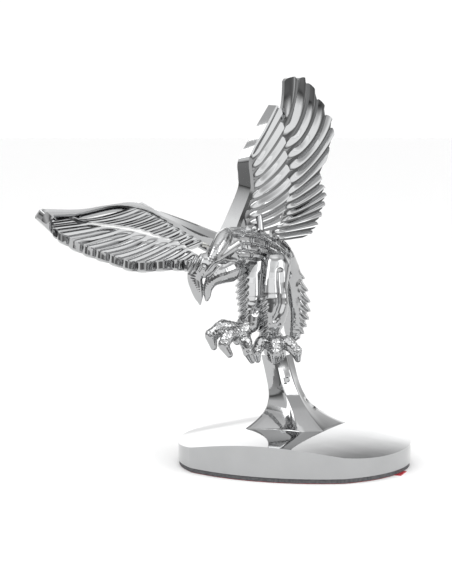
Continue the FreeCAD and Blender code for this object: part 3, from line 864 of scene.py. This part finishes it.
def spread(tree, value, low, high):
    """The middle of a noise value's range, spread between two values."""
    item = node(tree, "ShaderNodeMapRange")
    tree.links.new(value, item.inputs["Value"])
    item.inputs["From Min"].default_value = 0.3
    item.inputs["From Max"].default_value = 0.7
    item.inputs["To Min"].default_value = low
    item.inputs["To Max"].default_value = high
    return item.outputs["Result"]


def bump(tree, shader, value, distance):
    """Adds a bump of the given depth in millimetres."""
    item = node(tree, "ShaderNodeBump")
    item.inputs["Distance"].default_value = distance * MM
    tree.links.new(value, item.inputs["Height"])
    tree.links.new(item.outputs["Normal"], shader.inputs["Normal"])


def chrome(name, tone, rough_low, rough_high, ripple):
    """Polished chrome plating over a casting: faint haze, orange peel and tone drift."""
    material, tree, shader = shader_tree(name)
    shader.inputs["Metallic"].default_value = 1.0
    colour = ramp(tree, noise(tree, 0.12), [(0.3, tuple(c * 0.93 for c in tone)), (0.7, tone)])
    tree.links.new(colour, shader.inputs["Base Color"])
    tree.links.new(spread(tree, noise(tree, 0.5, 5.0), rough_low, rough_high), shader.inputs["Roughness"])
    bump(tree, shader, noise(tree, 0.6, 4.0), ripple)
    return material


def foam():
    material, tree, shader = shader_tree("grey_foam_tape")
    colour = ramp(tree, noise(tree, 1.4, 6.0), [(0.3, (0.07, 0.07, 0.075)), (0.7, (0.13, 0.13, 0.135))])
    tree.links.new(colour, shader.inputs["Base Color"])
    shader.inputs["Roughness"].default_value = 0.9
    bump(tree, shader, noise(tree, 2.2, 5.0), 0.25)
    return material


def liner():
    material, tree, shader = shader_tree("red_release_film")
    colour = ramp(tree, noise(tree, 0.2), [(0.3, (0.42, 0.01, 0.02)), (0.7, (0.66, 0.03, 0.05))])
    tree.links.new(colour, shader.inputs["Base Color"])
    tree.links.new(spread(tree, noise(tree, 0.8), 0.2, 0.34), shader.inputs["Roughness"])
    bump(tree, shader, noise(tree, 0.25), 0.04)
    return material


def black_plastic():
    material, tree, shader = shader_tree("black_moulded_plastic")
    colour = ramp(tree, noise(tree, 0.3), [(0.3, (0.012, 0.012, 0.013)), (0.7, (0.03, 0.03, 0.032))])
    tree.links.new(colour, shader.inputs["Base Color"])
    tree.links.new(spread(tree, noise(tree, 2.0), 0.45, 0.62), shader.inputs["Roughness"])
    bump(tree, shader, noise(tree, 4.0), 0.03)
    return material


def zinc():
    material, tree, shader = shader_tree("zinc_plated_steel")
    shader.inputs["Metallic"].default_value = 1.0
    colour = ramp(tree, noise(tree, 1.0), [(0.3, (0.5, 0.5, 0.48)), (0.7, (0.66, 0.66, 0.63))])
    tree.links.new(colour, shader.inputs["Base Color"])
    tree.links.new(spread(tree, noise(tree, 2.5), 0.28, 0.42), shader.inputs["Roughness"])
    bump(tree, shader, noise(tree, 3.0), 0.02)
    return material


def dress(item, material):
    item.data.materials.clear()
    item.data.materials.append(material)


# ------------------------------------------------------------------------ stage

STUDIO_STRENGTH = 1.7
LAMP_AIM = (0, 0, 0.05)


def floor():
    """Pale matt floor that ends just in front of the object, so the chrome mirrors less of it."""
    size, edge = 4.0, 0.16
    spots = ((edge, -size), (edge, size), (-size, size), (-size, -size))
    corners = [TOWARD_VIEW * near + ACROSS_VIEW * side for near, side in spots]
    mesh = bpy.data.meshes.new("floor")
    mesh.from_pydata([tuple(corner) for corner in corners], [], [(0, 1, 2, 3)])
    item = bpy.data.objects.new("floor", mesh)
    bpy.context.scene.collection.objects.link(item)
    material, tree, shader = shader_tree("pale_floor")
    shader.inputs["Base Color"].default_value = (0.95, 0.95, 0.95, 1)
    shader.inputs["Roughness"].default_value = 1.0
    shader.inputs["Specular IOR Level"].default_value = 0.0
    mesh.materials.append(material)


def facing(tree, direction, stops):
    """Grey by how far a ray points along a direction: stops run from -1, away, to 1, along."""
    spots = node(tree, "ShaderNodeTexCoord")
    dot = node(tree, "ShaderNodeVectorMath", operation="DOT_PRODUCT")
    tree.links.new(spots.outputs["Generated"], dot.inputs[0])
    dot.inputs[1].default_value = direction
    share = node(tree, "ShaderNodeMath", operation="MULTIPLY_ADD")
    share.inputs[1].default_value = 0.5
    share.inputs[2].default_value = 0.5
    tree.links.new(dot.outputs["Value"], share.inputs[0])
    greys = [(0.5 + 0.5 * place, (tone, tone, tone)) for place, tone in stops]
    return ramp(tree, share.outputs[0], greys)


def blended(tree, kind, first, second):
    """Two colours mixed in full by a blend such as ADD or MULTIPLY."""
    mix = node(tree, "ShaderNodeMix", data_type="RGBA", blend_type=kind)
    mix.inputs["Factor"].default_value = 1.0
    tree.links.new(first, mix.inputs[6])
    tree.links.new(second, mix.inputs[7])
    return mix.outputs[2]


def surroundings():
    """A studio made of bands of direction.

    Towards the viewpoint there is a pale level band with lamps above and dark gaps between
    them, and behind the object there is a bright horizon under a sky that darkens upwards.
    """
    world = bpy.data.worlds.new("studio")
    bpy.context.scene.world = world
    world.use_nodes = True
    tree = world.node_tree
    studio = tree.nodes["Background"]
    toward, across, up = (0.35, -0.937, 0), (0.937, 0.35, 0), (0, 0, 1)
    level = facing(tree, up, [(-1, 1.0), (0.1, 1.0), (0.14, 0.0), (1, 0.0)])
    sides = facing(tree, across, [
        (-1, 0.4), (-0.85, 0.2), (-0.3, 0.06), (0.0, 0.12), (0.3, 0.5), (0.5, 0.4), (0.6, 0.1),
        (0.7, 0.1), (0.85, 0.5),
    ])
    front = facing(tree, toward, [(-1, 0.0), (0.0, 0.0), (0.12, 1.0), (1, 1.0)])
    back = facing(tree, toward, [(-1, 1.0), (0.0, 1.0), (0.12, 0.0), (1, 0.0)])
    sky = facing(tree, up, [
        (-1, 0.62), (0.06, 0.62), (0.14, 1.1), (0.26, 0.9), (0.5, 0.3), (0.75, 0.2), (1, 0.5),
    ])
    walls = facing(tree, across, [
        (-1, 0.3), (-0.75, 0.5), (-0.3, 1.0), (0.15, 1.0), (0.4, 0.5), (0.6, 1.0), (0.85, 0.3), (1, 0.6),
    ])
    lamps = facing(tree, up, [
        (-1, 0), (0.1, 0.04), (0.16, 0.14), (0.3, 1), (0.6, 1), (0.8, 0.12), (0.9, 0.12), (0.97, 0.7),
    ])
    gaps = facing(tree, across, [
        (-1, 0.5), (-0.78, 0.7), (-0.6, 0.22), (-0.4, 1), (0.35, 1), (0.5, 0.5), (0.65, 1),
    ])
    level_band = blended(tree, "MULTIPLY", level, sides)
    lamp_band = blended(tree, "MULTIPLY", lamps, gaps)
    fronts = blended(tree, "ADD", level_band, lamp_band)
    backs = blended(tree, "MULTIPLY", sky, walls)
    front_half = blended(tree, "MULTIPLY", fronts, front)
    back_half = blended(tree, "MULTIPLY", backs, back)
    tone = blended(tree, "ADD", front_half, back_half)
    tree.links.new(tone, studio.inputs["Color"])
    studio.inputs["Strength"].default_value = STUDIO_STRENGTH
    bpy.context.scene.view_settings.view_transform = "Standard"


def softbox(name, place, aim, size, power):
    """A rectangular lamp turned towards a point."""
    light = bpy.data.lights.new(name, "AREA")
    light.shape = "RECTANGLE"
    light.size, light.size_y = size
    light.energy = power
    item = bpy.data.objects.new(name, light)
    bpy.context.scene.collection.objects.link(item)
    item.location = place
    item.rotation_euler = (Vector(aim) - Vector(place)).to_track_quat("-Z", "Y").to_euler()


def overhead(power):
    """A very soft light from straight above, which evens out the floor."""
    light = bpy.data.lights.new("overhead", "SUN")
    light.energy = power
    light.angle = math.radians(100)
    item = bpy.data.objects.new("overhead", light)
    bpy.context.scene.collection.objects.link(item)


def camera():
    data = bpy.data.cameras.new("camera")
    data.lens = LENS
    data.sensor_width = SENSOR_WIDTH
    data.clip_start, data.clip_end = 0.01, 20.0
    item = bpy.data.objects.new("camera", data)
    bpy.context.scene.collection.objects.link(item)
    back = TOWARD_VIEW * math.cos(VIEW_ELEVATION) + vec(0, 0, math.sin(VIEW_ELEVATION))
    aim = ACROSS_VIEW * VIEW_AIM_ACROSS + vec(0, 0, VIEW_AIM_HEIGHT)
    item.location = (aim + back * VIEW_DISTANCE) * MM
    item.rotation_euler = Vector(-back).to_track_quat("-Z", "Y").to_euler()
    bpy.context.scene.camera = item


# --------------------------------------------------------------------- assembly

casting_chrome = chrome(
    "chrome_on_casting", tone=(0.43, 0.434, 0.438), rough_low=0.04, rough_high=0.08, ripple=0.006,
)
base_chrome = chrome(
    "chrome_on_base", tone=(0.44, 0.444, 0.448), rough_low=0.03, rough_high=0.06, ripple=0.002,
)

pieces = [
    (left_wing(), "left_wing"),
    (right_wing(), "right_wing"),
    (torso(), "torso"),
    (head(), "head"),
    (thigh(
        "left_thigh", LEFT_THIGH, box=((-12, -15, 33), (2, 3, 64)),
        high=50.0, low=46.0, reach=-0.9, furrow=LEFT_FURROW,
    ), "left_leg"),
    (thigh(
        "right_thigh", RIGHT_THIGH, box=((-19, -17, 35), (-4, 2, 64)),
        high=56.0, low=54.0, reach=-0.6, furrow=RIGHT_FURROW,
    ), "right_leg"),
    (tail(), "tail"),
    (foot("left"), "left_foot"),
    (foot("right"), "right_foot"),
    (pedestal(), "pedestal"),
]
FINISHES = {
    "red_liner": liner(),
    "grey_foam": foam(),
    "black_plastic": black_plastic(),
    "zinc_steel": zinc(),
    "chrome_base": base_chrome,
    "chrome_casting": casting_chrome,
}
SLOTS = {part["node"]: part["material_slot"] for part in frame["record"]["subparts"]}
for cad_node, slot in SLOTS.items():
    dress(frame["nodes"][cad_node], FINISHES[slot])
for piece, cad_node in pieces:
    dress(piece, FINISHES[SLOTS[cad_node]])
    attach(piece, "ornament")
    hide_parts(cad_node)

floor()
surroundings()
softbox("key", place=(-0.5, -0.5, 0.7), aim=LAMP_AIM, size=(0.5, 0.5), power=2.0)
softbox("fill", place=(0.7, -0.2, 0.5), aim=LAMP_AIM, size=(0.4, 0.6), power=1.4)
overhead(1.15)
camera()
